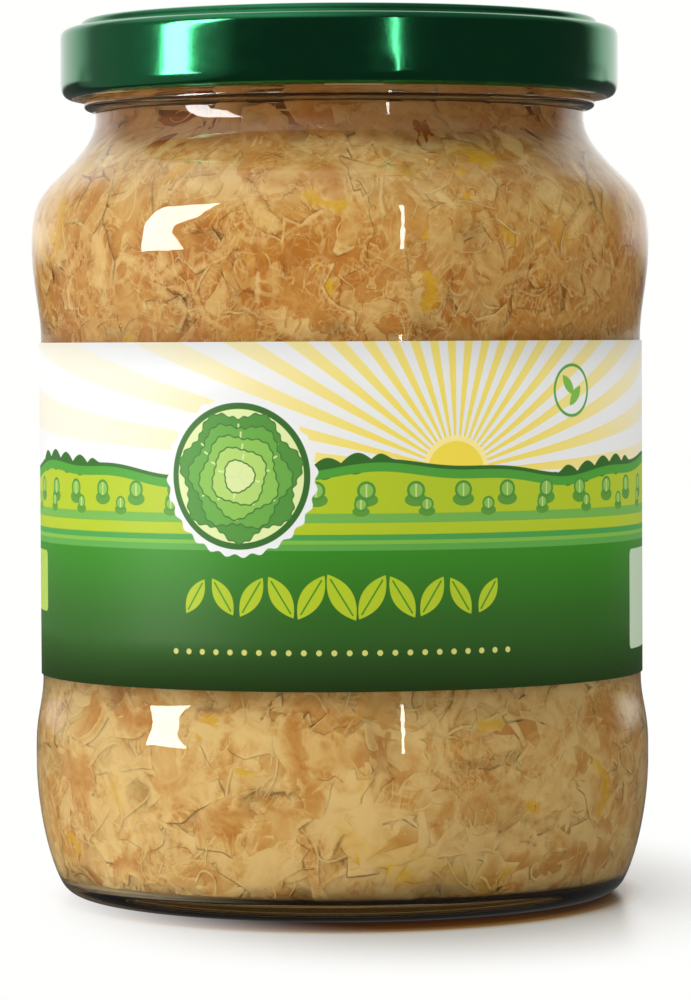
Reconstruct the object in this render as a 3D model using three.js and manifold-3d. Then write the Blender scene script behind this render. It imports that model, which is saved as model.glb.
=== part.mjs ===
// A sealed jar of sauerkraut: a clear twist-off jar, its steel cap, a paper wrap label and the shredded
// cabbage that fills it. Millimetres, +Z up, the origin under the middle of the jar, the label facing -Y.
import * as THREE from "three";
import { mergeVertices } from "three/addons/utils/BufferGeometryUtils.js";
import Module from "manifold-3d";

const wasm = await Module();
wasm.setup();

// Driving dimensions

const SIDES = 40; // facets round the jar, the cap and the label

const GLASS = {
  footInner: 36.5, // flat standing ring
  footOuter: 39.2,
  pushUp: 2.2, // hollow under the base
  heelRadius: 43.3,
  heelHeight: 2.3,
  lowerBulge: 46.85,
  lowerBulgeFrom: 20.5,
  lowerBulgeTo: 23,
  panelRadius: 45.75, // recessed band that carries the label
  panelFrom: 33.2,
  panelTo: 85.2,
  upperBulge: 47.1,
  upperBulgeAt: 99.2,
  shoulderRadius: 42.9,
  shoulderHeight: 109.4,
  neckRadius: 37.25,
  neckHeight: 118.2,
  beadRadius: 39,
  beadHeight: 120.2,
  beadHalf: 0.9,
  finishRadius: 38, // thread wall above the bead
  boreRadius: 34.8,
  top: 132.3,
  wall: 2.45,
  floorHeight: 3.2,
  floorCrown: 5.2,
};

const THREAD = { starts: 6, sweep: 46, tube: 1, from: 127.4, to: 124.4, firstAngle: 8, steps: 3, sides: 5 };

const HEEL_DOTS = { count: 4, firstAngle: 64, pitch: 3.6, height: 5.4, radius: 0.6, tall: 1.5 };

const CAP = {
  radius: 42.5,
  bottom: 121.2,
  curlHeight: 2.1, // rolled lower edge
  curlInner: 40,
  ledge: 131.75,
  top: 133.1,
  shoulder: 1.5,
  ringOuter: 39.3, // raised ring over the glass rim
  ringInner: 34,
  panel: 131.4,
  buttonRadius: 11,
  buttonRise: 0.45,
  sheet: 0.45,
};

const LUG = { count: 6, firstAngle: 2.5, width: 11, height: 1.15, inner: 39.2, outer: 40.8, centre: 121.95 };

const LABEL = { from: 33.9, height: 50.3, thickness: 0.15, gap: 0.12, overlapFacets: 1, layerGap: 0.1 };

const HEAP = { inset: 3.4, floorGap: 0.5, from: 7.5, to: 117, rows: 9, sides: 24, top: 120.6, crown: 121.6 };

const SHREDS = {
  count: 70,
  seed: 7,
  shortest: 17,
  longest: 36,
  narrowest: 2.6,
  widest: 6.4,
  thickness: 1.15,
  steps: 4,
  wallGap: 0.55, // nearest that a shred comes to the glass
  depthSpread: 1.5,
  endDip: 3.4, // how far each end sinks into the core
  steepest: 75, // slope from the horizontal, in degrees
  wave: 1.6,
};

// Helpers

const degrees = THREE.MathUtils.degToRad;

// Follows a profile from its start. Each piece is a number of steps, its control points and its end:
// one point makes a line, two or three make a curve.
function trace(start, pieces) {
  const points = [new THREE.Vector2(...start)];
  for (const [steps, ...stops] of pieces) {
    const [a, b, c, d] = [points.at(-1), ...stops.map((stop) => new THREE.Vector2(...stop))];
    let curve = new THREE.LineCurve(a, b);
    if (c) curve = new THREE.QuadraticBezierCurve(a, b, c);
    if (d) curve = new THREE.CubicBezierCurve(a, b, c, d);
    points.push(...curve.getPoints(steps).slice(1));
  }
  return points;
}

// Radius of a traced wall at a height.
function radiusAt(wall, height) {
  const next = wall.findIndex((p, i) => i > 0 && (p.y - height) * (wall[i - 1].y - height) <= 0);
  const [a, b] = next < 0 ? [wall.at(-1), wall.at(-1)] : [wall[next - 1], wall[next]];
  return THREE.MathUtils.lerp(a.x, b.x, a.y === b.y ? 0 : (height - a.y) / (b.y - a.y));
}

function spin(points, sides = SIDES) {
  return new THREE.LatheGeometry(points, sides).rotateX(Math.PI / 2);
}

// Bends a flat piece round the jar's axis: place turns its x, y, z into a radius, an angle and a height.
function wrap(geometry, place) {
  const position = geometry.attributes.position;
  const corner = new THREE.Vector3();
  for (let i = 0; i < position.count; i++) {
    corner.fromBufferAttribute(position, i);
    const { radius, angle, height } = place(corner);
    position.setXYZ(i, radius * Math.sin(angle), -radius * Math.cos(angle), height);
  }
  return geometry;
}

function solidOf(geometry) {
  const bare = geometry.clone();
  bare.deleteAttribute("normal");
  bare.deleteAttribute("uv");
  const merged = mergeVertices(bare, 1e-3);
  const vertProperties = merged.attributes.position.array;
  const triVerts = new Uint32Array(merged.index.array);
  return new wasm.Manifold(new wasm.Mesh({ numProp: 3, vertProperties, triVerts }));
}

// Joins the pieces into one body, without the loose scraps and shut hollows that joining may leave.
function fuse(geometries) {
  const joined = geometries.map(solidOf).reduce((sum, piece) => sum.add(piece));
  const largest = joined.decompose().reduce((a, b) => (b.volume() > a.volume() ? b : a));
  const { vertProperties, triVerts } = largest.getMesh();
  const geometry = new THREE.BufferGeometry();
  geometry.setAttribute("position", new THREE.BufferAttribute(vertProperties, 3));
  geometry.setIndex(new THREE.BufferAttribute(triVerts, 1));
  return geometry;
}

function finished(name, geometry, material) {
  const shaded = geometry.index ? geometry.toNonIndexed() : geometry;
  shaded.computeVertexNormals();
  const mesh = new THREE.Mesh(shaded, new THREE.MeshStandardMaterial(material));
  mesh.name = name;
  return mesh;
}

// The glass jar

function outerProfile() {
  const g = GLASS;
  const beadFrom = g.beadHeight - g.beadHalf;
  const beadTo = g.beadHeight + g.beadHalf;
  return trace([0, g.pushUp], [
    [2, [g.footInner * 0.7, g.pushUp], [g.footInner, 0]],
    [1, [g.footOuter, 0]],
    [2, [g.footOuter + 3, 0], [g.heelRadius, g.heelHeight]],
    [4, [g.heelRadius + 2, 6.2], [g.lowerBulge, 14], [g.lowerBulge, g.lowerBulgeFrom]],
    [1, [g.lowerBulge, g.lowerBulgeTo]],
    [3, [g.lowerBulge, 27.5], [g.panelRadius, 29.5], [g.panelRadius, g.panelFrom]],
    [1, [g.panelRadius, g.panelTo]],
    [3, [g.panelRadius + 0.15, 90], [g.upperBulge, 93.5], [g.upperBulge, g.upperBulgeAt]],
    [5, [g.upperBulge, 104.6], [g.shoulderRadius + 3.1, 106.6], [g.shoulderRadius, g.shoulderHeight]],
    [4, [g.shoulderRadius - 1.7, 111.2], [g.neckRadius, 114.5], [g.neckRadius, g.neckHeight]],
    [1, [g.neckRadius, beadFrom]],
    [2, [g.beadRadius, beadFrom], [g.beadRadius, g.beadHeight]],
    [2, [g.beadRadius, beadTo], [g.finishRadius, beadTo]],
    [1, [g.finishRadius, g.top - 1.4]],
    [2, [g.finishRadius, g.top], [(g.finishRadius + g.boreRadius) / 2, g.top]],
  ]);
}

// The inside of the glass, from the rim down to the floor.
function innerProfile() {
  const g = GLASS;
  const panel = g.panelRadius - g.wall;
  const lower = g.lowerBulge - g.wall;
  const upper = g.upperBulge - g.wall;
  return trace([g.boreRadius, g.top - 1.4], [
    [1, [g.boreRadius, g.neckHeight]],
    [3, [g.boreRadius, 113.6], [g.shoulderRadius - 4, 110.4], [g.shoulderRadius - 2, 108]],
    [3, [g.shoulderRadius + 0.4, 105.2], [upper, 103.4], [upper, g.upperBulgeAt]],
    [2, [upper, 93.5], [panel, 90], [panel, g.panelTo]],
    [1, [panel, g.panelFrom]],
    [2, [panel, 29.5], [lower, 27.5], [lower, g.lowerBulgeTo]],
    [5, [lower, 10], [lower - 0.9, 3.9], [39, g.floorHeight]],
    [2, [g.footInner * 0.5, g.floorCrown], [0, g.floorCrown]],
  ]);
}

const glassOutside = outerProfile();
const glassInside = innerProfile();

// One thread ridge: a short helix that falls to the cap's lug, half sunk in the glass.
function threadRidge(start) {
  const t = THREAD;
  const points = [];
  for (let i = 0; i <= t.steps; i++) {
    const angle = degrees(t.firstAngle + (start * 360) / t.starts + (t.sweep * i) / t.steps);
    const height = THREE.MathUtils.lerp(t.to, t.from, i / t.steps);
    const radius = GLASS.finishRadius + t.tube * 0.5;
    points.push(new THREE.Vector3(radius * Math.sin(angle), -radius * Math.cos(angle), height));
  }
  const ring = new THREE.Path().absarc(0, 0, t.tube, 0, Math.PI * 2);
  const section = new THREE.Shape(ring.getSpacedPoints(t.sides).slice(1));
  const extrudePath = new THREE.CatmullRomCurve3(points);
  return new THREE.ExtrudeGeometry(section, { steps: t.steps, curveSegments: 1, extrudePath });
}

// Small raised mould marks low on one side of the heel.
function heelDot(index) {
  const d = HEEL_DOTS;
  const angle = degrees(d.firstAngle + index * d.pitch);
  const radius = radiusAt(glassOutside, d.height) - 0.1;
  const dot = new THREE.SphereGeometry(d.radius, 6, 3).rotateX(Math.PI / 2).scale(1, 1, d.tall);
  return dot.translate(radius * Math.sin(angle), -radius * Math.cos(angle), d.height);
}

function glassJar() {
  const body = spin([...glassOutside, ...glassInside]);
  const ridges = Array.from({ length: THREAD.starts }, (_, i) => threadRidge(i));
  const dots = Array.from({ length: HEEL_DOTS.count }, (_, i) => heelDot(i));
  return fuse([body, ...ridges, ...dots]);
}

// The cap

function capProfile() {
  const c = CAP;
  const inside = c.radius - c.sheet;
  const under = c.panel - c.sheet;
  const curlMiddle = c.bottom + c.curlHeight / 2;
  return trace([0, under + c.buttonRise], [
    [1, [c.buttonRadius - 1.5, under + c.buttonRise]],
    [1, [c.buttonRadius, under]],
    [1, [c.ringInner - 0.4, under]],
    [1, [c.ringInner + 0.5, c.top - c.sheet]],
    [1, [c.ringOuter - 0.4, c.top - c.sheet]],
    [1, [c.ringOuter + 0.2, c.ledge - c.sheet]],
    [1, [c.radius - c.shoulder, c.ledge - c.sheet]],
    [2, [inside, c.ledge - c.sheet], [inside, c.ledge - c.shoulder]],
    [1, [inside, c.bottom + c.curlHeight + 0.5]],
    [1, [c.curlInner + 0.5, c.bottom + c.curlHeight]],
    [2, [c.curlInner - 0.3, curlMiddle], [c.curlInner + 0.6, c.bottom]],
    [1, [c.curlInner + 1, c.bottom]],
    [3, [c.radius - 0.1, c.bottom + 0.2], [c.radius, c.bottom + c.curlHeight]],
    [1, [c.radius, c.ledge - c.shoulder]],
    [3, [c.radius, c.ledge], [c.radius - c.shoulder, c.ledge]],
    [1, [c.ringOuter + 0.6, c.ledge]],
    [1, [c.ringOuter + 0.1, c.ledge + 0.4]],
    [2, [c.ringOuter, c.top], [c.ringOuter - 0.8, c.top]],
    [1, [c.ringInner + 0.6, c.top]],
    [1, [c.ringInner - 0.8, c.panel]],
    [1, [c.buttonRadius + 0.4, c.panel]],
    [1, [c.buttonRadius - 1.3, c.panel + c.buttonRise]],
    [1, [0, c.panel + c.buttonRise]],
  ]);
}

// A tab of the rolled edge that reaches in under a thread ridge.
function lug(index) {
  const l = LUG;
  const middle = degrees(l.firstAngle + (index * 360) / l.count);
  const box = new THREE.BoxGeometry(l.width, l.height, l.outer - l.inner, 3, 1, 1);
  return wrap(box, (p) => ({
    radius: (l.inner + l.outer) / 2 + p.z,
    angle: middle + p.x / l.outer,
    height: l.centre + p.y,
  }));
}

function cap() {
  const lugs = Array.from({ length: LUG.count }, (_, i) => lug(i));
  return fuse([spin(capProfile()), ...lugs]);
}

// The label: one strip of paper that goes once round the panel and laps over its own start at the back.
function label() {
  const l = LABEL;
  const facet = (Math.PI * 2) / SIDES;
  const lap = l.thickness + l.layerGap;
  const inner = GLASS.panelRadius + l.gap;
  const at = (step, radius) => {
    const angle = Math.PI + step * facet;
    return new THREE.Vector2(radius * Math.sin(angle), -radius * Math.cos(angle));
  };
  const lift = (step) => (step >= SIDES - 1 ? lap : 0);
  const steps = Array.from({ length: SIDES + l.overlapFacets + 1 }, (_, i) => i);
  const inside = steps.map((i) => at(i, inner + lift(i)));
  const outside = steps.map((i) => at(i, inner + lift(i) + l.thickness));
  const outline = new THREE.Shape([...outside, ...inside.reverse()]);
  const strip = new THREE.ExtrudeGeometry(outline, { depth: l.height, bevelEnabled: false, steps: 1 });
  return strip.translate(0, 0, l.from);
}

// The sauerkraut: a core a little smaller than the jar, with shreds that lie along the glass fused on.
function heapCore() {
  const h = HEAP;
  const bottom = GLASS.floorCrown + h.floorGap;
  const side = (height) => radiusAt(glassInside, height) - h.inset;
  const stops = [[1, [side(h.from) - 3, bottom]]];
  for (let i = 0; i <= h.rows; i++) {
    const height = THREE.MathUtils.lerp(h.from, h.to, i / h.rows);
    stops.push([1, [side(height), height]]);
  }
  stops.push([1, [side(h.to) - 2, h.top]], [1, [0, h.crown]]);
  return spin(trace([0, bottom], stops), h.sides);
}

// Cabbage shreds, spread evenly by the golden angle, each a strip with its own slope, length and wave.
function shreds() {
  const s = SHREDS;
  const goldenAngle = Math.PI * (3 - Math.sqrt(5));
  THREE.MathUtils.seededRandom(s.seed);
  const draw = (low, high) => THREE.MathUtils.lerp(low, high, THREE.MathUtils.seededRandom());
  return Array.from({ length: s.count }, (_, i) => {
    const length = draw(s.shortest, s.longest);
    const width = draw(s.narrowest, s.widest);
    const slope = degrees(draw(-s.steepest, s.steepest));
    const depth = s.wallGap + draw(0, s.depthSpread) + s.thickness / 2;
    const phase = draw(0, Math.PI * 2);
    const reach = (length * Math.abs(Math.sin(slope)) + width) / 2 + s.wave;
    const low = HEAP.from + reach - 1;
    const high = HEAP.to + 2 - reach;
    const middle = THREE.MathUtils.lerp(low, high, ((i + 0.5) / s.count) % 1);
    const around = i * goldenAngle;
    const strip = new THREE.BoxGeometry(length, width, s.thickness, s.steps, 1, 1);
    return wrap(strip, (p) => {
      const along = (2 * p.x) / length;
      const wander = s.wave * Math.sin(phase + along * 2.4);
      const sideways = p.x * Math.cos(slope) - (p.y + wander) * Math.sin(slope);
      const height = middle + p.x * Math.sin(slope) + (p.y + wander) * Math.cos(slope);
      const radius = radiusAt(glassInside, height) - depth - s.endDip * along ** 4 + p.z;
      return { radius, angle: around + sideways / radiusAt(glassInside, middle), height };
    });
  });
}

function sauerkraut() {
  return fuse([heapCore(), ...shreds()]);
}

const jar = new THREE.Group();
jar.add(finished("glass_jar", glassJar(), { color: 0xdfe8e2, roughness: 0.03, metalness: 0 }));
jar.add(finished("lid", cap(), { color: 0x0d5a30, roughness: 0.18, metalness: 0.1 }));
jar.add(finished("label", label(), { color: 0x4e9a2f, roughness: 0.45, metalness: 0 }));
jar.add(finished("sauerkraut", sauerkraut(), { color: 0xd3ad72, roughness: 0.5, metalness: 0 }));

export default jar;
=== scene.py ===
import bpy
import bmesh
import math
import numpy as np
from mathutils import Matrix, Vector


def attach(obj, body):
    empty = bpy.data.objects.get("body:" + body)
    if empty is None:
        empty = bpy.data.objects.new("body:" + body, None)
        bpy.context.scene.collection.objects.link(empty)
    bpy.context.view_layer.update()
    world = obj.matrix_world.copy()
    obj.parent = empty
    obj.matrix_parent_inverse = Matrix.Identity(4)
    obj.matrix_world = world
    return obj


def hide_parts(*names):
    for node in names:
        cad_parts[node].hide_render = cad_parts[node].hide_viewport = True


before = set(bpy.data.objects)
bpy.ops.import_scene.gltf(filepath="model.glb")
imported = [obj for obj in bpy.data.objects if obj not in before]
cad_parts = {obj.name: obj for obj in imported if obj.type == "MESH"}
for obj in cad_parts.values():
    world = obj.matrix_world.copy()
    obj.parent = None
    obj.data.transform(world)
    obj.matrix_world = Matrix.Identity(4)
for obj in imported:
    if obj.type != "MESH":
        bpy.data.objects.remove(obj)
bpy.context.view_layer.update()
mm = 0.001


# small tools: shader values, profiles and meshes

class Value:  # one shader socket; sums on it add Math nodes
    def __init__(self, paint, socket):
        self.paint = paint
        self.socket = socket

    def math(self, operation, *others):
        sockets = dict(enumerate((self, *others)))
        return self.paint.node("ShaderNodeMath", {"operation": operation}, sockets)

    def flipped(self, operation, other):
        return self.paint.node("ShaderNodeMath", {"operation": operation}, {0: other, 1: self})

    def __add__(self, other):
        return self.math("ADD", other)

    def __sub__(self, other):
        return self.math("SUBTRACT", other)

    def __rsub__(self, other):
        return self.flipped("SUBTRACT", other)

    def __mul__(self, other):
        return self.math("MULTIPLY", other)

    def __truediv__(self, other):
        return self.math("DIVIDE", other)

    def __rtruediv__(self, other):
        return self.flipped("DIVIDE", other)

    def __pow__(self, other):
        return self.math("POWER", other)

    def __neg__(self):
        return self.math("MULTIPLY", -1)

    def __abs__(self):
        return self.math("ABSOLUTE")

    __radd__ = __add__
    __rmul__ = __mul__


class Paint:  # one material or world
    def __init__(self, name, owner=None):
        self.owner = owner or bpy.data.materials.new(name)
        self.owner.use_nodes = True
        self.tree = self.owner.node_tree
        self.shader = self.tree.nodes.get("Principled BSDF")

    def node(self, kind, settings=None, sockets=None, output=0):
        made = self.tree.nodes.new(kind)
        for key, value in (settings or {}).items():
            if key == "stops":
                ramp = made.color_ramp.elements
                while len(ramp) < len(value):
                    ramp.new(0.5)
                for stop, (place, colour) in zip(ramp, value):
                    stop.position = place
                    stop.color = (*colour, 1)
            else:
                setattr(made, key, value)
        for key, value in (sockets or {}).items():
            self.feed(made.inputs[key], value)
        return Value(self, made.outputs[output])

    def feed(self, socket, value):
        if isinstance(value, Value):
            self.tree.links.new(value.socket, socket)
        elif socket.type == "RGBA":
            socket.default_value = (*value, 1)
        else:
            socket.default_value = value

    def surface(self, **sockets):
        for key, value in sockets.items():
            self.feed(self.shader.inputs[key.replace("_", " ")], value)
        return self.owner

    def place(self):  # object coordinates in millimetres
        point = self.node("ShaderNodeTexCoord", output="Object")
        scaled = self.node("ShaderNodeVectorMath", {"operation": "SCALE"}, {0: point, "Scale": 1000})
        return [self.node("ShaderNodeSeparateXYZ", {}, {0: scaled}, axis) for axis in "XYZ"]

    def noise(self, size, detail=2.0, stretch=(1, 1, 1), distortion=0.0):  # size in millimetres
        point = self.node("ShaderNodeTexCoord", output="Object")
        scale = [1000 * s / size for s in stretch]
        moved = self.node("ShaderNodeMapping", {}, {"Vector": point, "Scale": scale})
        sockets = {"Vector": moved, "Scale": 1, "Detail": detail, "Distortion": distortion}
        return self.node("ShaderNodeTexNoise", {}, sockets, "Fac")

    def attribute(self, name):
        return self.node("ShaderNodeAttribute", {"attribute_name": name}, {}, "Fac")

    def mix(self, share, a, b):
        return self.node("ShaderNodeMix", {"data_type": "RGBA"}, {0: share, 6: a, 7: b}, 2)

    def ramp(self, value, stops):
        return self.node("ShaderNodeValToRGB", {"stops": stops}, {0: value})

    def fade(self, value, low, high, to=(0, 1)):  # 0 below low, 1 above high, smooth between
        sockets = {"Value": value, "From Min": low, "From Max": high, "To Min": to[0], "To Max": to[1]}
        return self.node("ShaderNodeMapRange", {"interpolation_type": "SMOOTHSTEP"}, sockets)

    def bump(self, height, depth, strength=1.0):  # depth in millimetres
        sockets = {"Height": height, "Distance": depth * mm, "Strength": strength}
        return self.node("ShaderNodeBump", {}, sockets)


def trace(start, pieces):  # a profile of lines and curves, each with its steps, controls and end
    points = [start]
    for steps, *stops in pieces:
        first = points[-1]
        for i in range(1, steps + 1):
            ladder = np.array([first, *stops], float)
            while len(ladder) > 1:
                ladder = ladder[:-1] + (ladder[1:] - ladder[:-1]) * i / steps
            points.append(tuple(ladder[0]))
    return np.array(points)


def around(radius, angle, height):  # angle 0 faces the camera, and grows to its right
    return np.stack([radius * np.sin(angle), -radius * np.cos(angle), height], -1)


def gridFaces(rows, columns, closed):
    steps = columns if closed else columns - 1
    row, column = np.meshgrid(np.arange(rows - 1), np.arange(steps), indexing="ij")
    after = (column + 1) % columns
    low, high = row * columns, (row + 1) * columns
    return np.stack([low + column, low + after, high + after, high + column], -1).reshape(-1, 4)


def addPiece(name, points, faces, materials, node, weld=False):
    mesh = bpy.data.meshes.new(name)
    mesh.from_pydata((points.reshape(-1, 3) * mm).tolist(), [], faces)
    if weld:
        cage = bmesh.new()
        cage.from_mesh(mesh)
        bmesh.ops.remove_doubles(cage, verts=cage.verts, dist=1e-7)
        cage.to_mesh(mesh)
        cage.free()
    mesh.shade_smooth()
    piece = bpy.data.objects.new(name, mesh)
    bpy.context.collection.objects.link(piece)
    for material in materials:
        mesh.materials.append(material)
    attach(piece, "root")
    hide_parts(node)
    return piece


def spin(profile, sides, bump=None):
    angle = np.linspace(0, 2 * math.pi, sides, endpoint=False)
    radius = np.repeat(profile[:, :1], sides, 1)
    height = np.repeat(profile[:, 1:], sides, 1)
    turn = np.repeat(angle[None], len(profile), 0)
    if bump is not None:
        radius = radius + bump(turn, height, radius)
    return around(radius, turn, height), gridFaces(len(profile), sides, True).tolist()


def softNoise(angle, height, across, tall, seed):  # smooth noise that meets itself round the jar
    table = np.random.default_rng(seed).random((64, across))
    u = (angle / (2 * math.pi) % 1) * across
    v = height / tall % 63
    i, j = np.floor(u).astype(int), np.floor(v).astype(int)
    s, t = u - i, v - j
    s, t = s * s * (3 - 2 * s), t * t * (3 - 2 * t)
    low = table[j, i % across] * (1 - s) + table[j, (i + 1) % across] * s
    high = table[j + 1, i % across] * (1 - s) + table[j + 1, (i + 1) % across] * s
    return low * (1 - t) + high * t


# the glass jar

glass = {
    "footInner": 36.5, "footOuter": 39.2, "pushUp": 2.2,
    "heelRadius": 43.3, "heelHeight": 2.3,
    "lowerBulge": 46.85, "lowerFrom": 20.5, "lowerTo": 23,
    "panelRadius": 45.75, "panelFrom": 33.2, "panelTo": 85.2,
    "upperBulge": 47.1, "upperAt": 99.2,
    "shoulderRadius": 42.9, "shoulderHeight": 109.4,
    "neckRadius": 37.25, "neckHeight": 118.2,
    "beadRadius": 39, "beadHeight": 120.2, "beadHalf": 0.9,
    "finishRadius": 38, "boreRadius": 34.8, "top": 132.3,
    "wall": 2.45, "floorHeight": 3.2, "floorCrown": 5.2,
    "threadStarts": 6, "threadSweep": 46, "threadFirst": 8, "threadLow": 124.4, "threadHigh": 127.4,
    "threadHalf": 1.2, "threadRise": 1.45, "threadZone": (121.3, 130.5),
    "dotFirst": 64, "dotPitch": 3.6, "dotCount": 4, "dotHeight": 5.4,
    "dotReach": 44.6, "dotHalf": (0.6, 0.9), "dotRise": 0.5,
    "waviness": 0.16, "wavesTo": 118, "sides": 224,
    # the foot's dark tint and the heights where it fades in are painted shade
    "tint": (0.96, 0.985, 0.97), "footShadeTint": (0.034, 0.020, 0.005), "footShadeZone": (2.4, 3.7),
    "ior": 1.5, "wetIor": 1.119, "wetTo": 122.4,
}


def outerProfile():
    g = glass
    beadFrom, beadTo = g["beadHeight"] - g["beadHalf"], g["beadHeight"] + g["beadHalf"]
    panel, lower, upper, neck = g["panelRadius"], g["lowerBulge"], g["upperBulge"], g["neckRadius"]
    shoulder, finish = g["shoulderRadius"], g["finishRadius"]
    return trace((0, g["pushUp"]), [
        (14, (g["footInner"] * 0.7, g["pushUp"]), (g["footInner"], 0)),
        (1, (g["footOuter"], 0)),
        (10, (g["footOuter"] + 3, 0), (g["heelRadius"], g["heelHeight"])),
        (24, (g["heelRadius"] + 2, 6.2), (lower, 14), (lower, g["lowerFrom"])),
        (3, (lower, g["lowerTo"])),
        (14, (lower, 27.5), (panel, 29.5), (panel, g["panelFrom"])),
        (6, (panel, g["panelTo"])),
        (14, (panel + 0.15, 90), (upper, 93.5), (upper, g["upperAt"])),
        (18, (upper, 104.6), (shoulder + 3.1, 106.6), (shoulder, g["shoulderHeight"])),
        (14, (shoulder - 1.7, 111.2), (neck, 114.5), (neck, g["neckHeight"])),
        (2, (neck, beadFrom)),
        (6, (g["beadRadius"], beadFrom), (g["beadRadius"], g["beadHeight"])),
        (6, (g["beadRadius"], beadTo), (finish, beadTo)),
        (22, (finish, g["top"] - 1.4)),
        (6, (finish, g["top"]), ((finish + g["boreRadius"]) / 2, g["top"])),
    ])


def innerProfile():
    g = glass
    panel, lower, upper = (g[k] - g["wall"] for k in ("panelRadius", "lowerBulge", "upperBulge"))
    shoulder, bore = g["shoulderRadius"], g["boreRadius"]
    return trace((bore, g["top"] - 1.4), [
        (4, (bore, g["neckHeight"])),
        (12, (bore, 113.6), (shoulder - 4, 110.4), (shoulder - 2, 108)),
        (12, (shoulder + 0.4, 105.2), (upper, 103.4), (upper, g["upperAt"])),
        (10, (upper, 93.5), (panel, 90), (panel, g["panelTo"])),
        (12, (panel, g["panelFrom"])),
        (10, (panel, 29.5), (lower, 27.5), (lower, g["lowerTo"])),
        (22, (lower, 10), (lower - 0.9, 3.9), (39, g["floorHeight"])),
        (12, (g["footInner"] * 0.5, g["floorCrown"]), (0, g["floorCrown"])),
    ])


outside, inside = outerProfile(), innerProfile()
wallLine = inside[:-12][::-1]  # from the floor corner to the rim


def wallRadius(height):
    return np.interp(height, wallLine[:, 1], wallLine[:, 0])


def innerWaves(angle, height, radius):  # the uneven inner wall, calm at the floor and the neck
    swell = softNoise(angle, height + 40, 14, 34, 3) + 0.5 * softNoise(angle, height + 40, 31, 60, 4)
    calm = np.clip((radius - 30) / 8, 0, 1) * np.clip((glass["wavesTo"] - height) / 10, 0, 1)
    return glass["waviness"] * (swell - 0.75) * calm


def glassRelief(angle, height, radius):
    g = glass
    relief = np.zeros_like(radius)
    wall = len(outside)  # rows from here on belong to the inside
    degrees = np.degrees(angle) % 360
    for start in range(g["threadStarts"]):
        along = ((degrees - g["threadFirst"] - start * 360 / g["threadStarts"]) % 360) / g["threadSweep"]
        middle = g["threadLow"] + (g["threadHigh"] - g["threadLow"]) * np.clip(along, 0, 1)
        ends = np.clip(np.minimum(along, 1 - along) * 10, 0, 1)
        ridge = np.clip(1 - ((height - middle) / g["threadHalf"]) ** 2, 0, 1) * ends
        low, high = g["threadZone"]
        relief[:wall] += (g["threadRise"] * ridge * (height > low) * (height < high))[:wall]
    for dot in range(g["dotCount"]):
        turn = np.radians(degrees - g["dotFirst"] - dot * g["dotPitch"]) * g["dotReach"]
        wide, tall = g["dotHalf"]
        bump = np.clip(1 - (turn / wide) ** 2 - ((height - g["dotHeight"]) / tall) ** 2, 0, 1)
        relief[:wall] += (g["dotRise"] * np.sqrt(bump) * (radius > 40))[:wall]
    relief[wall:] += innerWaves(angle, height, radius)[wall:]
    return relief


def clearGlass():
    paint = Paint("clear glass")
    z = paint.place()[2]
    # the solid foot is seen edge on; it is painted dark, a painted shade and reflection of the unlit underside of the
    # contents and the shadowed floor
    tint = paint.mix(paint.fade(z, *glass["footShadeZone"]), glass["footShadeTint"], glass["tint"])
    ripple = paint.noise(5.5, 1, (1, 1, 0.6)) + 0.25 * paint.noise(1.6, 1)
    paint.surface(Base_Color=tint, Roughness=0.0, IOR=glass["ior"], Transmission_Weight=1.0,
                  Normal=paint.bump(ripple, 0.05, 0.5))
    return paint.owner


def wetGlass():  # where the brine lies against the glass, light bends only as much as between those two
    paint = Paint("wet glass")
    return paint.surface(Base_Color=(1, 1, 1), Roughness=0.0, IOR=glass["wetIor"], Transmission_Weight=1.0)


profile = np.concatenate([outside, inside])
points, faces = spin(profile, glass["sides"], glassRelief)
piece = addPiece("jarGlass", points, faces, [clearGlass(), wetGlass()], "glass_jar", weld=True)
for face in piece.data.polygons:
    centre, normal = face.center / mm, face.normal
    reach = centre.xy.length
    inwards = centre.xy.dot(normal.xy) < -0.01 * centre.length or reach < 0.1
    if centre.z < glass["wetTo"] and (inwards or normal.z > 0.3) and reach < wallRadius(centre.z) + 0.6:
        face.material_index = 1
piece.visible_shadow = False  # light reaches the contents through it
print("glass jar", len(faces), "faces")


# the lid

lid = {
    "radius": 42.5, "bottom": 121.2, "curl": 2.1, "curlInner": 40, "ledge": 131.75, "top": 133.1,
    "shoulder": 1.5, "ringOuter": 39.3, "ringInner": 34, "panel": 131.4,
    "buttonRadius": 11, "buttonRise": 0.45, "sheet": 0.45,
    "lugs": 6, "lugFirst": 2.5, "lugWidth": 11, "lugReach": 0.9,
    "sides": 240,
    "green": (0.024, 0.20, 0.078), "greenMottle": 1.07, "lacquer": (0.62, 0.58, 0.48),
}


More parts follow.
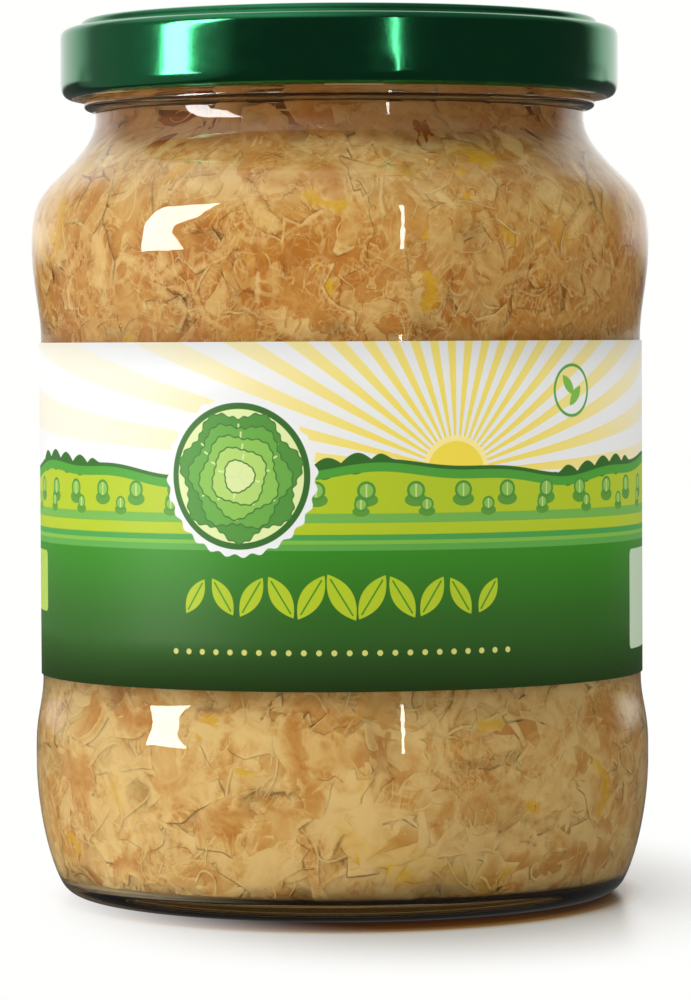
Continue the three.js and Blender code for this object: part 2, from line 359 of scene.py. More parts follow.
def lidProfile():
    c = lid
    skin, under = c["radius"] - c["sheet"], c["panel"] - c["sheet"]
    ledge, top, sheet = c["ledge"], c["top"], c["sheet"]
    ringIn, ringOut, button = c["ringInner"], c["ringOuter"], c["buttonRadius"]
    curlTop, middle = c["bottom"] + c["curl"], c["bottom"] + c["curl"] / 2
    within = trace((0, under + c["buttonRise"]), [
        (2, (button - 2.2, under + c["buttonRise"])),
        (6, (button - 0.8, under + c["buttonRise"]), (button, under)),
        (2, (ringIn - 1.4, under)),
        (6, (ringIn - 0.2, under), (ringIn + 0.2, top - sheet - 0.5)),
        (4, (ringIn + 0.3, top - sheet), (ringIn + 1, top - sheet)),
        (2, (ringOut - 0.9, top - sheet)),
        (5, (ringOut - 0.3, top - sheet), (ringOut - 0.2, ledge + 0.2)),
        (4, (ringOut, ledge - sheet), (ringOut + 0.9, ledge - sheet)),
        (1, (c["radius"] - c["shoulder"], ledge - sheet)),
        (8, (skin, ledge - sheet), (skin, ledge - c["shoulder"])),
        (4, (skin, curlTop + 0.5)),
        (4, (c["curlInner"] + 0.5, curlTop)),
        (8, (c["curlInner"] - 0.3, middle), (c["curlInner"] + 0.6, c["bottom"])),
    ])
    without = trace((c["curlInner"] + 0.6, c["bottom"]), [
        (2, (c["curlInner"] + 1, c["bottom"])),
        (12, (c["radius"] - 0.1, c["bottom"] + 0.2), (c["radius"], curlTop)),
        (8, (c["radius"], ledge - c["shoulder"])),
        (10, (c["radius"], ledge), (c["radius"] - c["shoulder"], ledge)),
        (2, (ringOut + 0.9, ledge)),
        (5, (ringOut + 0.2, ledge), (ringOut + 0.1, ledge + 0.55)),
        (7, (ringOut, top), (ringOut - 0.8, top)),
        (3, (ringIn + 1, top)),
        (5, (ringIn + 0.3, top), (ringIn, top - 0.5)),
        (6, (ringIn - 0.4, c["panel"]), (ringIn - 1.6, c["panel"])),
        (4, (button + 0.4, c["panel"])),
        (6, (button - 0.6, c["panel"]), (button - 2, c["panel"] + c["buttonRise"])),
        (3, (0, c["panel"] + c["buttonRise"])),
    ])
    return within, without[1:]


def lugRelief(angle, height, radius):  # tabs of the rolled edge that reach in under the threads
    c = lid
    pitch = 2 * math.pi / c["lugs"]
    turn = ((angle - math.radians(c["lugFirst"]) + pitch / 2) % pitch - pitch / 2) * c["curlInner"]
    tab = np.clip((c["lugWidth"] / 2 - np.abs(turn)) / 1.2, 0, 1)
    tab = tab * tab * (3 - 2 * tab)
    low = (height < c["bottom"] + c["curl"] + 0.2) & (radius < c["curlInner"] + 1.2)
    skirt = np.clip(1 - np.abs(height - c["bottom"] - 2.4) / 1.8, 0, 1) * (radius > c["radius"] - 1.2)
    return -c["lugReach"] * tab * low - 0.14 * tab * skirt


def greenEnamel():
    paint = Paint("green enamel")
    mottle = paint.noise(3.0, 3)
    light = tuple(lid["greenMottle"] * v for v in lid["green"])
    colour = paint.mix(paint.fade(mottle, 0.35, 0.7), lid["green"], light)
    peel = paint.noise(0.9, 2) + 0.6 * paint.noise(4.0, 1)
    paint.surface(Base_Color=colour, Roughness=paint.fade(mottle, 0.3, 0.8, (0.12, 0.15)), Metallic=1.0,
                  Coat_Weight=0.12, Coat_Roughness=0.04, Normal=paint.bump(peel, 0.012, 0.5))
    return paint.owner


def paleLacquer():
    paint = Paint("pale lacquer")
    cloud = paint.noise(6.0, 3)
    colour = paint.mix(cloud, lid["lacquer"], tuple(0.8 * v for v in lid["lacquer"]))
    paint.surface(Base_Color=colour, Roughness=paint.fade(cloud, 0.3, 0.7, (0.28, 0.4)), Metallic=0.2)
    return paint.owner


within, without = lidProfile()
points, faces = spin(np.concatenate([within, without]), lid["sides"], lugRelief)
piece = addPiece("steelLid", points, faces, [greenEnamel(), paleLacquer()], "lid", weld=True)
for face in piece.data.polygons:  # the inside and the rolled edge's inner half are lacquered
    centre = face.center / mm
    inwards = centre.xy.dot(face.normal.xy) < 0 and centre.z < lid["ledge"] - 0.5
    if centre.xy.length < lid["curlInner"] + 0.7 and (face.normal.z < -0.2 or inwards):
        face.material_index = 1
print("lid", len(faces), "faces")


# the label

label = {
    "bottom": 33.9, "height": 50.3, "gap": 0.12, "thickness": 0.15, "lap": 13.0, "rows": 8, "columns": 360,
    "paper": (0.80, 0.80, 0.79), "sun": (0.88, 0.69, 0.06), "lime": (0.42, 0.53, 0.010),
    "leaf": (0.07, 0.33, 0.03), "hedge": (0.03, 0.14, 0.016), "rule": (0.10, 0.36, 0.055),
    "field": (0.034, 0.255, 0.006), "midField": (0.025, 0.13, 0.007), "deep": (0.017, 0.05, 0.006),
    "printRadius": 46.05, "edge": 0.12,
    "sunAt": (17, 31.5), "badgeAt": (-15, 31.0), "badgeSize": 11.5, "sprigAt": (38, 43),
    # from, to and colour of each stripe over the field
    "stripes": ((20.3, 21.2, (0.10, 0.36, 0.055)), (21.2, 21.8, (0.20, 0.46, 0.05)), (21.8, 22.6, (0.06, 0.33, 0.06)),
                (22.6, 24.3, None), (24.3, 25.6, (0.16, 0.42, 0.065))),
    # size, lobes and colour of each ring of leaves in the badge
    "badgeLeaves": ((0.79, 7, (0.075, 0.27, 0.035)), (0.66, 6, (0.13, 0.37, 0.05)), (0.52, 5, (0.24, 0.50, 0.075)),
                    (0.37, 4, (0.42, 0.63, 0.14)), (0.21, 3, (0.66, 0.76, 0.33))),
    # place, half width, half height and colour of each ruled panel
    "panels": ((66, 11.5, 10, 7.5, (0.50, 0.62, 0.44)), (-65, 14.5, 5.5, 4.6, (0.40, 0.58, 0.08)),
               (112, 25, 17, 20, (0.80, 0.83, 0.74)), (-108, 25, 17, 20, (0.80, 0.83, 0.74))),
}


def labelStrip():
    c = label
    inner = glass["panelRadius"] + c["gap"]
    lapTurn = c["lap"] / inner
    turn = math.pi + np.linspace(0, 2 * math.pi + lapTurn, c["columns"])
    over = np.clip((turn - 3 * math.pi + 0.1) / 0.1, 0, 1)
    over = over * over * (3 - 2 * over) * (c["thickness"] + 0.06)
    rise = np.linspace(c["bottom"], c["bottom"] + c["height"], c["rows"])
    heights = np.concatenate([rise, rise[::-1]])
    offsets = np.concatenate([np.full(c["rows"], c["thickness"]), np.zeros(c["rows"])])
    radius = inner + over[None] + offsets[:, None]
    points = around(radius, np.repeat(turn[None], len(heights), 0), np.repeat(heights[:, None], len(turn), 1))
    faces = gridFaces(len(heights), len(turn), False)
    n, m = len(heights), len(turn)
    column = np.arange(m - 1)
    close = np.stack([(n - 1) * m + column, (n - 1) * m + column + 1, column + 1, column], -1)
    row = np.arange(c["rows"] - 1)
    ends = []
    for side in (0, m - 1):
        a, b = row * m + side, (row + 1) * m + side
        p, q = (n - 1 - row) * m + side, (n - 2 - row) * m + side
        ends.append(np.stack([a, b, q, p] if side == 0 else [p, q, b, a], -1))
    return points, np.concatenate([faces, close, *ends]).tolist()


def printedPaper():
    c = label
    paint = Paint("printed paper")
    x, y, z = paint.place()
    u = x.math("ARCTAN2", -y) * c["printRadius"]  # millimetres round from the front
    v = z - c["bottom"]

    def inside(distance):  # 1 where a signed distance is below nothing
        return paint.fade(distance, -c["edge"] / 2, c["edge"] / 2, (1, 0))

    def band(value, low, high):
        return inside(abs(value - (low + high) / 2) - (high - low) / 2)

    def wrapU(period, shift=0.0):
        return (u + shift + 400 * period).math("MODULO", period) - period / 2

    def polar(cu, cv):
        return ((u - cu) ** 2 + (v - cv) ** 2) ** 0.5, (v - cv).math("ARCTAN2", u - cu)

    def panel(cu, cv, wide, tall, corner):  # signed distance to a round-cornered box
        a = (abs(u - cu) - (wide - corner)).math("MAXIMUM", 0)
        b = (abs(v - cv) - (tall - corner)).math("MAXIMUM", 0)
        return (a ** 2 + b ** 2) ** 0.5 - corner

    def leafAt(cu, cv, size, lean):  # signed distance to a pointed leaf, and its midrib
        a = (u - cu) * math.cos(lean) + (v - cv) * math.sin(lean)
        b = (v - cv) * math.cos(lean) - (u - cu) * math.sin(lean)
        blade = abs(a) - 0.42 * size * (1 - (b / size) ** 2)
        return blade, inside(abs(a) - 0.12) * inside(abs(b) - size * 0.8)

    # lower field, dark towards the foot
    colour = paint.ramp(v / 22, [(0.0, c["deep"]), (0.5, c["midField"]), (1.0, c["field"])])
    for low, high, tone in c["stripes"]:
        colour = paint.mix(band(v, low, high), colour, tone or c["lime"])
    colour = paint.mix(inside(25.6 - v), colour, c["lime"])
    # paper sky with the rays of one low sun
    hill = 32.0 + 0.9 * (u * (2 * math.pi / 57.86) + 0.8).math("SINE")
    hill = hill + 0.35 * (u * (2 * math.pi / 20.66)).math("SINE")
    reach, turn = polar(*c["sunAt"])
    rays = paint.fade((turn * 44).math("SINE"), -0.15, 0.25)
    sky = paint.mix(rays * paint.fade(reach, 4, 62, (0.95, 0.2)), c["paper"], c["sun"])
    sky = paint.mix(inside(reach - 5.2), sky, (0.95, 0.80, 0.30))
    sky = paint.mix(inside(reach - 4.4), sky, c["sun"])
    colour = paint.mix(inside(hill - v), colour, sky)
    clumps = paint.fade((u * (2 * math.pi / 48.2) + 2.0).math("SINE"), 0.1, 0.5)
    bushes = 1.1 * abs((u * 0.72).math("SINE")) * clumps
    colour = paint.mix(inside(abs(v - hill + 0.2) - 0.45 - bushes), colour, c["hedge"])
    colour = paint.mix(band(v - hill, -1.6, -0.3), colour, c["leaf"])
    # rows of cabbages in the field
    for period, shift, height, size in ((7.233, 0.0, 28.9, 1.35), (9.644, 2.0, 26.9, 1.0)):
        across = wrapU(period, shift)
        far = (across ** 2 + (v - height) ** 2) ** 0.5
        under = (across ** 2 + 3 * (v - height + size) ** 2) ** 0.5
        colour = paint.mix(inside(under - size * 1.25), colour, (0.10, 0.30, 0.03))
        colour = paint.mix(inside(far - size), colour, (0.07, 0.27, 0.035))
        colour = paint.mix(inside(far - size * 0.72), colour, (0.24, 0.48, 0.07))
        colour = paint.mix(inside(abs(across) - 0.1) * inside(far - size * 0.7), colour, (0.55, 0.68, 0.25))
    # round badge with a cabbage seen from above
    size = c["badgeSize"]
    far, turn = polar(*c["badgeAt"])
    colour = paint.mix(inside(far - size * (1 + 0.022 * (turn * 28).math("SINE"))), colour, c["paper"])
    colour = paint.mix(inside(far - size * 0.92), colour, c["hedge"])
    colour = paint.mix(inside(far - size * 0.84), colour, (0.70, 0.78, 0.36))
    for number, (share, lobes, tone) in enumerate(c["badgeLeaves"]):
        frill = 0.075 * (turn * lobes + 1.9 * number).math("SINE") + 0.018 * (turn * lobes * 5).math("SINE")
        frill = share * size * (1 + frill)
        colour = paint.mix(inside(far - frill), colour, (0.05, 0.17, 0.025))
        colour = paint.mix(inside(far - frill + 0.22), colour, tone)
        rib = abs((turn * lobes / 2 + 0.95 * number + math.pi / 4).math("SINE")) * far * 2 / lobes
        colour = paint.mix(inside(rib - 0.13) * inside(far - frill + 0.7), colour, (0.62, 0.74, 0.32))
    # garland of leaves in the lower field, with a dotted rule under it
    for number in range(11):
        lean = 0.55 if number % 2 else -0.55
        blade, rib = leafAt((number - 5) * 4.4, 13.6, 3.9 - 0.2 * abs(number - 5), lean)
        colour = paint.mix(inside(blade), colour, c["lime"])
        colour = paint.mix(rib, colour, c["field"])
    dots = inside((wrapU(2.2) ** 2 + (v - 5.6) ** 2) ** 0.5 - 0.42) * inside(abs(u) - 27)
    colour = paint.mix(dots, colour, (0.62, 0.62, 0.16))
    # small sprig in a ring
    middle, height = c["sprigAt"]
    ring, _ = polar(middle, height)
    colour = paint.mix(inside(abs(ring - 3.7) - 0.22), colour, c["rule"])
    for lean, lift in ((-0.7, -0.8), (0.7, 0.8)):
        blade, _ = leafAt(middle - lean * 1.1, height + lift, 1.9, lean)
        colour = paint.mix(inside(blade), colour, (0.20, 0.48, 0.06))
    # plain ruled panels at the sides and the back
    for cu, cv, wide, tall, tone in c["panels"]:
        box = panel(cu, cv, wide, tall, 1.0)
        colour = paint.mix(inside(box), colour, tone)
        lines = inside(abs((v + 100 - cv).math("MODULO", 2.5) - 1.25) - 0.11) * inside(box + 1.6)
        colour = paint.mix(lines * 0.75, colour, (0.06, 0.20, 0.04))
    fibre = paint.noise(0.5, 3) + 0.5 * paint.noise(9.0, 1)
    paint.surface(Base_Color=colour, Roughness=paint.fade(fibre, 0.4, 1.1, (0.46, 0.56)),
                  Specular_IOR_Level=0.3, Normal=paint.bump(fibre, 0.02, 0.35))
    return paint.owner


points, faces = labelStrip()
addPiece("wrapLabel", points, faces, [printedPaper()], "label")
print("label", len(faces), "faces")


# the sauerkraut

cabbage = {
    "seed": 5, "wallGap": 0.12, "level": 121.3, "bottom": 3.7, "crown": 5.9,
    "coreDepth": 0.3, "relief": 0.8, "pitFrom": 0.76, "pitDepth": 2.2, "neckFrom": 108.5, "neckDip": 5.5,
    "coreRows": 270, "coreColumns": 340, "topFrom": 117, "topDip": 4, "litEdgeShare": 0.25, "faceGlass": 0.7,
    "amber": (0.44, 0.17, 0.025), "tan": (0.56, 0.30, 0.082), "pale": (0.74, 0.55, 0.27),
    "gold": (0.66, 0.40, 0.016), "recessShade": (0.30, 0.09, 0.010),
}
bands = {"low": (3.9, 37), "high": (81, 120.5)}  # what shows below and above the label
kinds = {  # ring: where the cross section has its points, from the middle to the edge at 1
    "leafFlakes": {
        "count": 520, "length": (8, 24), "width": (4, 13), "thick": (0.07, 0.14), "rise": (0.02, 0.4),
        "curl": 1.0, "wobble": 0.3, "tilt": 0.02, "frill": 0.3,
        "steps": 14, "ring": (0.93, 0.5), "tone": (0.1, 1.0), "cover": 0.78,
    },
    "shreds": {
        "count": 520, "length": (8, 26), "width": (0.8, 3.0), "thick": (0.08, 0.18), "rise": (0.02, 0.35),
        "curl": 1.8, "wobble": 0.5, "tilt": 0.08, "frill": 0.2,
        "steps": 15, "ring": (0.9, 0.4), "tone": (0.4, 1.0), "cover": 0.65,
    },
    "fineShreds": {
        "count": 1000, "length": (4, 18), "width": (0.2, 0.55), "thick": (0.08, 0.16), "rise": (0.05, 0.4),
        "curl": 2.6, "wobble": 0.6, "tilt": 0.1, "frill": 0.1,
        "steps": 13, "ring": (0.7,), "tone": (0.6, 1.1), "cover": 0.75,
    },
    "goldenBits": {
        "count": 56, "length": (5, 15), "width": (2.5, 7), "thick": (0.1, 0.25), "rise": (0.05, 0.5),
        "curl": 1.4, "wobble": 0.4, "tilt": 0.05, "frill": 0.25,
        "steps": 12, "ring": (0.93, 0.5), "tone": (1.5, 1.8), "cover": 0.8,
    },
}


def cabbagePaint(name, cover):
    c = cabbage
    paint = Paint(name)
    tone, deep, rim, crisp = (paint.attribute(n) for n in ("tone", "deep", "rim", "crisp"))
    cloud = paint.noise(16.0, 3, distortion=1.0)
    drift = paint.noise(5.0, 3, distortion=1.8)
    # 1 along the lines where the noise crosses its middle
    wisp = 1 - abs(2 * paint.noise(6.0, 2, distortion=2.6) - 1)
    thread = 1 - abs(2 * paint.noise(2.6, 2, (1, 1, 0.6), distortion=1.5) - 1)
    # pressed mass under everything, paler at the bottom and more amber higher up; the shoulder is painted paler, as
    # light from above falls on it
    x, y, z = paint.place()
    lowPaleAndLitShoulder = paint.fade(z, 25, 90, (0.06, -0.08)) + paint.fade(z, 96, 106, (0, 0.11))
    stops = [(0.37, c["amber"]), (0.5, c["tan"]), (0.64, c["pale"])]
    mass = paint.ramp(0.5 * cloud + 0.5 * drift + lowPaleAndLitShoulder, stops)
    mass = paint.mix(paint.fade(wisp, 0.86, 1.0) * 0.55, mass, c["pale"])
    mass = paint.mix(paint.fade(thread, 0.88, 1.0) * 0.4, mass, c["pale"])
    yellow = paint.noise(15.0, 2, distortion=0.6)
    mass = paint.mix(paint.fade(yellow, 0.62, 0.74) * 0.75, mass, c["gold"])
    # each piece keeps its own tone and thins out to its edges
    stops = [(0.05, c["amber"]), (0.24, c["tan"]), (0.48, c["pale"]), (0.62, c["pale"]), (0.72, c["gold"])]
    leaf = paint.ramp((tone + 0.7 * (drift - 0.5) + 1.5 * lowPaleAndLitShoulder) / 2, stops)
    colour = paint.mix(paint.fade(rim, 0.1, 0.98, (cover, 0.0)), mass, leaf)
    # painted highlight: a pale line along the edges of some pieces, where their rims catch the light
    colour = paint.mix(paint.fade(abs(rim - 0.9), 0.0, 0.12, (0.6, 0.0)) * crisp, colour, c["pale"])
    # painted shade in crevices and deep recesses behind the glass, amber like the brine in front
    colour = paint.mix(paint.fade(deep, 0.3, 1.0), colour, c["recessShade"])
    wet = paint.fade(drift, 0.3, 0.7, (0.45, 0.6))
    paint.surface(Base_Color=colour, Roughness=wet, Specular_IOR_Level=0.1)
    if cover:  # thin pieces are lit as if they lay flat to the glass, so their edges don't turn dark
        own = paint.node("ShaderNodeNewGeometry", {}, {}, "Normal")
        out = paint.node("ShaderNodeCombineXYZ", {}, {"X": x, "Y": y})
        out = paint.node("ShaderNodeVectorMath", {"operation": "NORMALIZE"}, {0: out})
        sockets = {0: c["faceGlass"], 4: own, 5: out}
        paint.surface(Normal=paint.node("ShaderNodeMix", {"data_type": "VECTOR"}, sockets, 1))
    return paint.owner


def giveTones(piece, **tones):  # numbers for each point, which the paint reads
    for name, values in tones.items():
        store = piece.data.attributes.new(name, "FLOAT", "POINT")
        store.data.foreach_set("value", values.astype(np.float32).ravel())


def coreDepth(angle, height):  # how far the pressed mass lies behind the glass
    c = cabbage
    folds = 0.6 * softNoise(angle + height / 60, height, 26, 6.5, 21)
    folds = folds + 0.3 * softNoise(angle - height / 40, height, 64, 3, 22)
    folds = folds + 0.1 * softNoise(angle, height, 150, 1.3, 23)
    pits = np.clip((softNoise(angle, height, 44, 4.5, 24) - c["pitFrom"]) / 0.2, 0, 1)
    # the mass sinks back under the neck, so the painted recess shade darkens it there below the lid
    dip = np.clip((height - c["neckFrom"]) / 6, 0, 1)
    dip = dip * dip * (3 - 2 * dip)
    return c["coreDepth"] + c["relief"] * (1 - folds) + c["pitDepth"] * pits + c["neckDip"] * dip


def recessShadeShare(depth):  # 1 where the painted shade of crevices and deep recesses is darkest, amber like the brine in front
    return np.clip((depth - 1.2) / 3.0, 0, 1)


def addCore():
    c = cabbage
    heights = np.linspace(c["bottom"], c["level"] - 1.5, c["coreRows"])
    turn = np.linspace(0, 2 * math.pi, c["coreColumns"], endpoint=False)
    angle, height = np.meshgrid(turn, heights)
    depth = coreDepth(angle, height)
    radius = wallRadius(height) - depth - np.clip((height - c["topFrom"]) / 4, 0, 1) * c["topDip"]
    rows, columns = angle.shape
    ends = [[0, 0, c["crown"]], [0, 0, c["level"] - 1.2]]
    points = np.concatenate([around(radius, angle, height).reshape(-1, 3), ends])
    i = np.arange(columns)
    j = (i + 1) % columns
    underside = np.stack([np.full(columns, rows * columns), j, i], -1)
    last = (rows - 1) * columns
    upside = np.stack([np.full(columns, rows * columns + 1), last + i, last + j], -1)
    faces = gridFaces(rows, columns, True).tolist() + underside.tolist() + upside.tolist()
    piece = addPiece("krautCore", points, faces, [cabbagePaint("cabbage core", 0)], "sauerkraut")
    flat = np.zeros(rows * columns + 2)
    deep = np.append(recessShadeShare(depth).ravel(), [1, 1])
    giveTones(piece, tone=flat, deep=deep, rim=flat + 1, crisp=flat)
    print("kraut core", len(faces), "faces")


def addStrips(name, seed):
    c, k = cabbage, kinds[name]
    dice = np.random.default_rng(seed)
    n, steps = k["count"], k["steps"]

    def pick(low, high):  # one draw for each piece
        return dice.uniform(low, high, (n, 1))

    def wave(low, high):  # a sine along each piece, with its own pitch and start
        return np.sin(2 * math.pi * (pick(low, high) * s + pick(0, 1)))

    s = np.linspace(-0.5, 0.5, steps)[None]
    length, width, thick, rise = (pick(*k[key]) for key in ("length", "width", "thick", "rise"))
    low, high = bands["low"], bands["high"]
    share = (low[1] - low[0]) / (low[1] - low[0] + high[1] - high[0])
    middle = np.where(pick(0, 1) < share, pick(*low), pick(*high))
    start = pick(-math.pi, math.pi)
    bend = pick(0, math.pi) + dice.normal(0, k["curl"], (n, 1)) * s + k["wobble"] * wave(0.5, 1.6)
    pathU = np.cumsum(np.cos(bend), 1) * length / steps
    pathV = np.cumsum(np.sin(bend), 1) * length / steps
    pathU = pathU - pathU.mean(1, keepdims=True)
    pathV = pathV - pathV.mean(1, keepdims=True)
    lift = rise + 0.25 * wave(0.4, 1.2) - pick(0.3, 1.0) * (2 * s) ** 6  # both ends sink into the mass
    tilt = dice.normal(0, k["tilt"], (n, 1)) + k["tilt"] * wave(0.8, 1.2)
    half = [*k["ring"], 0, *(-r for r in k["ring"][::-1])]  # flat faces that turn only close to the edges
    across = np.array([1, *half, -1, *half[::-1]])
    through = np.array([0, *[-0.5] * len(half), 0, *[0.5] * len(half)])
    blunt = np.clip((1 - np.abs(2 * s) ** 6), 0.03, 1)
    edges = []
    for _ in range(2):  # each long edge is torn in its own way
        tear = wave(0.6, 1.5) + 0.63 * wave(1.5, 3.7) + 0.45 * wave(3, 7.5)
        edges.append(((1 + k["frill"] * tear) * blunt)[:, :, None])
    half = (width / 2)[:, :, None] * np.where(across < 0, *edges) * across
    inPlane = half * np.cos(tilt)[:, :, None]
    u = pathU[:, :, None] - np.sin(bend)[:, :, None] * inPlane
    v = pathV[:, :, None] + np.cos(bend)[:, :, None] * inPlane + middle[:, :, None]
    v = np.clip(v, c["bottom"] + 0.3, c["level"] - 0.2)
    angle = start[:, :, None] + u / wallRadius(middle)[:, :, None]
    thick = thick[:, :, None]
    bed = coreDepth(angle, v) - lift[:, :, None] + half * np.sin(tilt)[:, :, None]
    depth = np.maximum(bed, c["wallGap"] + pick(0, 0.25)[:, :, None] + thick / 2) - through * thick
    points = around(wallRadius(v) - depth, angle, v).reshape(-1, 3)
    ring = len(across)
    tube = gridFaces(steps, ring, True)[:, ::-1]
    faces = (np.arange(n)[:, None, None] * steps * ring + tube[None]).reshape(-1, 4)
    material = cabbagePaint("cabbage " + name, k["cover"])
    piece = addPiece(name, points, faces.tolist(), [material], "sauerkraut")

    def spread(values):
        return np.broadcast_to(values, depth.shape)

    tone = spread(pick(*k["tone"])[:, :, None])
    rim = spread(np.maximum(np.abs(across), ((2 * s) ** 4)[:, :, None]))
    # the pieces whose edges get the painted highlight
    crisp = spread((pick(0, 1) > 1 - c["litEdgeShare"])[:, :, None])
    giveTones(piece, tone=tone, deep=recessShadeShare(depth) * 0.7, rim=rim, crisp=crisp)
    piece.visible_shadow = False  # thin and translucent
    print(name, len(faces), "faces")


addCore()
for number, name in enumerate(kinds):
    addStrips(name, cabbage["seed"] + number)


# the brine, with its small bubbles

brine = {
    "level": 122.4, "overlap": 0.12, "sides": 160, "bubbles": 46, "bubbleSize": (0.3, 0.85), "seed": 9,
    "amber": (0.97, 0.86, 0.60), "ior": 1.34,
}


def amberBrine(name, ior):
    paint = Paint(name)
    return paint.surface(Base_Color=brine["amber"], Roughness=0.0, IOR=ior, Transmission_Weight=1.0)


def addBrine():
    c = brine
    wall = inside[::-1]
    wall = wall[wall[:, 1] < c["level"]]
    wall = np.stack([wall[:, 0] + c["overlap"] * (wall[:, 0] > 0.01), wall[:, 1] - c["overlap"]], -1)
    rim = glass["boreRadius"] + c["overlap"]
    level = c["level"]
    top = trace((rim, level + 0.5), [(6, (rim - 1.2, level), (rim - 3, level)), (4, (0, level))])
    points, faces = spin(np.concatenate([wall, top]), c["sides"], innerWaves)
    points = points.reshape(-1, 3)
    dice = np.random.default_rng(c["seed"])
    for _ in range(c["bubbles"]):
        size = dice.uniform(*c["bubbleSize"])
        height = dice.uniform(*bands["low" if dice.random() < 0.4 else "high"])
        turn = dice.uniform(-math.pi, math.pi)
        centre = around(wallRadius(height) - size - 0.06, turn, height)
        down = np.linspace(math.pi, 0, 10)
        ball = np.stack([np.sin(down) * size, np.cos(down) * size], -1)
        shell, skin = spin(ball, 16)
        faces += (np.array(skin)[:, ::-1] + len(points)).tolist()  # faces turned in: air inside the brine
        points = np.concatenate([points, shell.reshape(-1, 3) + centre])
    materials = [amberBrine("amber brine", 1.0), amberBrine("brine surface", c["ior"])]
    piece = addPiece("brine", points, faces, materials, "sauerkraut", weld=True)
    for face in piece.data.polygons:  # the open surface and the bubbles meet air, the rest meets the glass
        centre = face.center / mm
        offWall = centre.z > 6 and centre.xy.length < wallRadius(centre.z) - 0.05
        if centre.z > level - 0.05 or offWall:
            face.material_index = 1
    piece.visible_shadow = False
    print("brine", len(faces), "faces")


addBrine()


# the studio

studio = {
    "floor": (0.90, 0.895, 0.88), "white": (1.0, 1.0, 0.985), "aim": (0, 0, 0.07),
    "backdrop": 1.0, "front": 0.09, "left": 0.24, "behind": 1.0, "above": 0.72,
    # painted amber shadow and reflection of the thick foot on the floor, from 40 mm out to 52
    "shade": [(0.0, (0.06, 0.016, 0.002)), (0.45, (0.15, 0.05, 0.006)),
              (0.7, (0.40, 0.22, 0.07)), (0.85, (0.80, 0.72, 0.58))],
    # place, size and power of each lamp
    "lamps": {
        "keyLamp": ((-0.35, -0.75, 0.95), (0.7, 0.5), 2.7),
        "leftBox": ((-0.62, -0.29, 0.22), (0.35, 0.5), 2.55),
        "rightFill": ((0.7, -0.35, 0.2), (0.6, 0.6), 2.6),
    },
    # azimuth and elevation of each card's corners; the cards are seen only as highlights on gloss
    "cards": {
        "leftCard": [(-75, 0), (-57, 0), (-62, 6), (-61, 10), (-52, 15), (-46, 31), (-68, 25), (-73, 12)],
        "stripCard": [(20.8, -1), (22.0, -1), (23.4, 28), (21.8, 28)],
    },
    "cardGlow": 18, "cardReach": 0.6,
}
photo = {"distance": 0.70, "eye": 0.0841, "tilt": 1.98, "turn": -0.053, "roll": -0.28, "lens": 164.5}


def addFloor():
    paint = Paint("studio floor")
    x, y, _ = paint.place()
    reach = ((1.12 * x) ** 2 + (0.95 * y) ** 2) ** 0.5
    away = paint.fade(((1.6 * (x - 12)) ** 2 + y ** 2) ** 0.5, 46, 100)  # brighter on the left
    # painted shadow and reflection of the foot near the jar, fading to the plain floor
    shade = paint.ramp((reach - 40) / 12, [*studio["shade"], (1.0, studio["floor"])])
    paint.surface(Base_Color=shade, Roughness=0.25, Specular_IOR_Level=0.25)
    glow = paint.node("ShaderNodeEmission", {}, {"Color": studio["white"], "Strength": 1.0})
    near = Value(paint, paint.shader.outputs[0])
    blend = paint.node("ShaderNodeMixShader", {}, {0: away, 1: near, 2: glow})
    paint.feed(paint.tree.nodes["Material Output"].inputs["Surface"], blend)
    mesh = bpy.data.meshes.new("studioFloor")
    mesh.from_pydata([(-6, -6, 0), (6, -6, 0), (6, 6, 0), (-6, 6, 0)], [], [(0, 1, 2, 3)])
    mesh.materials.append(paint.owner)
    floor = bpy.data.objects.new("studioFloor", mesh)
    floor.visible_glossy = False  # the gloss of the jar shows a dark room in front
    bpy.context.collection.objects.link(floor)


def addLamp(name, place, size, power):
    lamp = bpy.data.lights.new(name, "AREA")
    lamp.shape = "RECTANGLE"
    lamp.size, lamp.size_y = size
    lamp.energy = power
    thing = bpy.data.objects.new(name, lamp)
    thing.location = place
    thing.rotation_euler = (Vector(studio["aim"]) - Vector(place)).to_track_quat("-Z", "Y").to_euler()
    for way in ("camera", "glossy", "transmission"):  # the cards below give the highlights
        setattr(thing, "visible_" + way, False)
    bpy.context.collection.objects.link(thing)


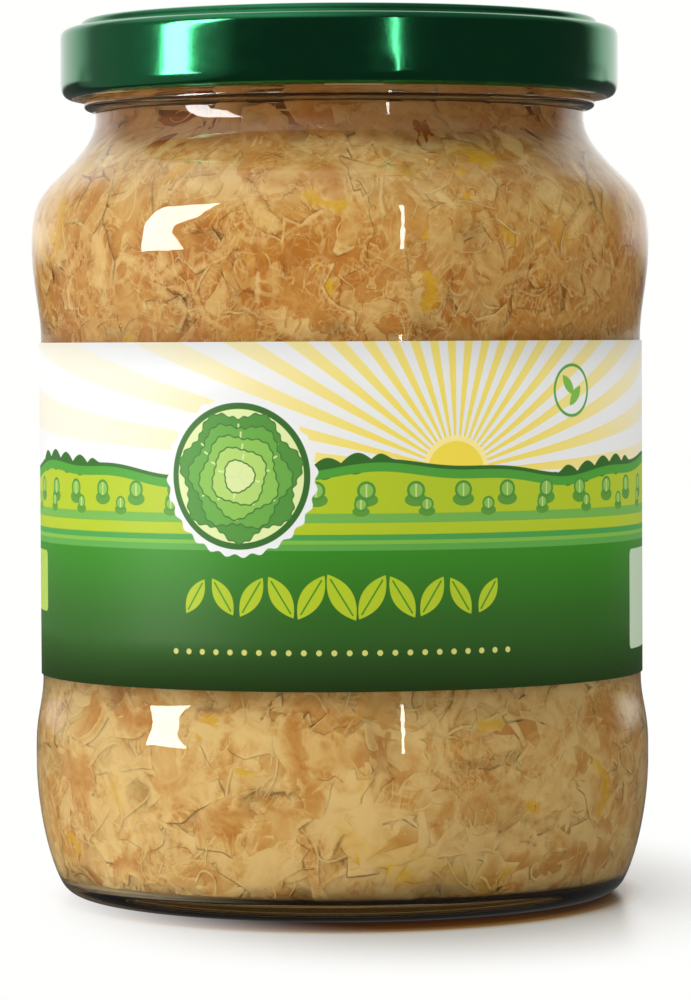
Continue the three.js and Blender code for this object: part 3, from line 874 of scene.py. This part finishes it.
def addCard(name, corners):
    paint = Paint(name)
    emission = paint.node("ShaderNodeEmission", {}, {"Strength": studio["cardGlow"]})
    paint.feed(paint.tree.nodes["Material Output"].inputs["Surface"], emission)
    turn, rise = np.radians(np.array(corners, float)).T
    reach = studio["cardReach"]
    spots = around(reach * np.cos(rise), turn, reach * np.sin(rise) + studio["aim"][2])
    mesh = bpy.data.meshes.new(name)
    mesh.from_pydata(spots.tolist(), [], [list(range(len(spots)))])
    mesh.materials.append(paint.owner)
    card = bpy.data.objects.new(name, mesh)
    for way in ("camera", "diffuse", "transmission", "shadow", "volume_scatter"):
        setattr(card, "visible_" + way, False)
    bpy.context.collection.objects.link(card)


def addWorld():
    world = bpy.data.worlds.new("studio")
    bpy.context.scene.world = world
    paint = Paint("studio", world)
    way = paint.node("ShaderNodeTexCoord", {}, {}, "Generated")
    across, depth, rise = (paint.node("ShaderNodeSeparateXYZ", {}, {0: way}, axis) for axis in "XYZ")
    front = studio["front"] + paint.fade(across, -0.82, -0.66, (studio["left"], 0))
    behind = paint.fade(depth, 0.5, 0.78, (0, studio["behind"])) * paint.fade(rise, -0.04, 0.04)
    above = paint.fade(rise, 0.35, 0.85, (0, studio["above"]))
    above = above * paint.fade(across, -0.45, 0.35, (1.3, 0.25))  # more from the left
    tent = front + behind + above
    camera = paint.node("ShaderNodeLightPath", {}, {}, "Is Camera Ray")
    strength = camera * studio["backdrop"] + (1 - camera) * tent
    background = paint.tree.nodes["Background"]
    paint.feed(background.inputs["Color"], studio["white"])
    paint.feed(background.inputs["Strength"], strength)


def addCamera():
    c = photo
    lens = bpy.data.cameras.new("photoCamera")
    lens.lens, lens.sensor_width, lens.sensor_fit = c["lens"], 36, "AUTO"
    lens.clip_start, lens.clip_end = 0.01, 50
    camera = bpy.data.objects.new("photoCamera", lens)
    turn = Matrix.Rotation(math.radians(c["turn"]), 4, "Z")
    tilt = Matrix.Rotation(math.radians(90 - c["tilt"]), 4, "X")
    roll = Matrix.Rotation(math.radians(c["roll"]), 4, "Z")
    camera.matrix_world = Matrix.Translation((0, -c["distance"], c["eye"])) @ turn @ tilt @ roll
    bpy.context.collection.objects.link(camera)
    bpy.context.scene.camera = camera


addFloor()
addWorld()
for name, (place, size, power) in studio["lamps"].items():
    addLamp(name, place, size, power)
for name, corners in studio["cards"].items():
    addCard(name, corners)
addCamera()
bpy.context.scene.view_settings.view_transform = "Standard"
print("studio set")
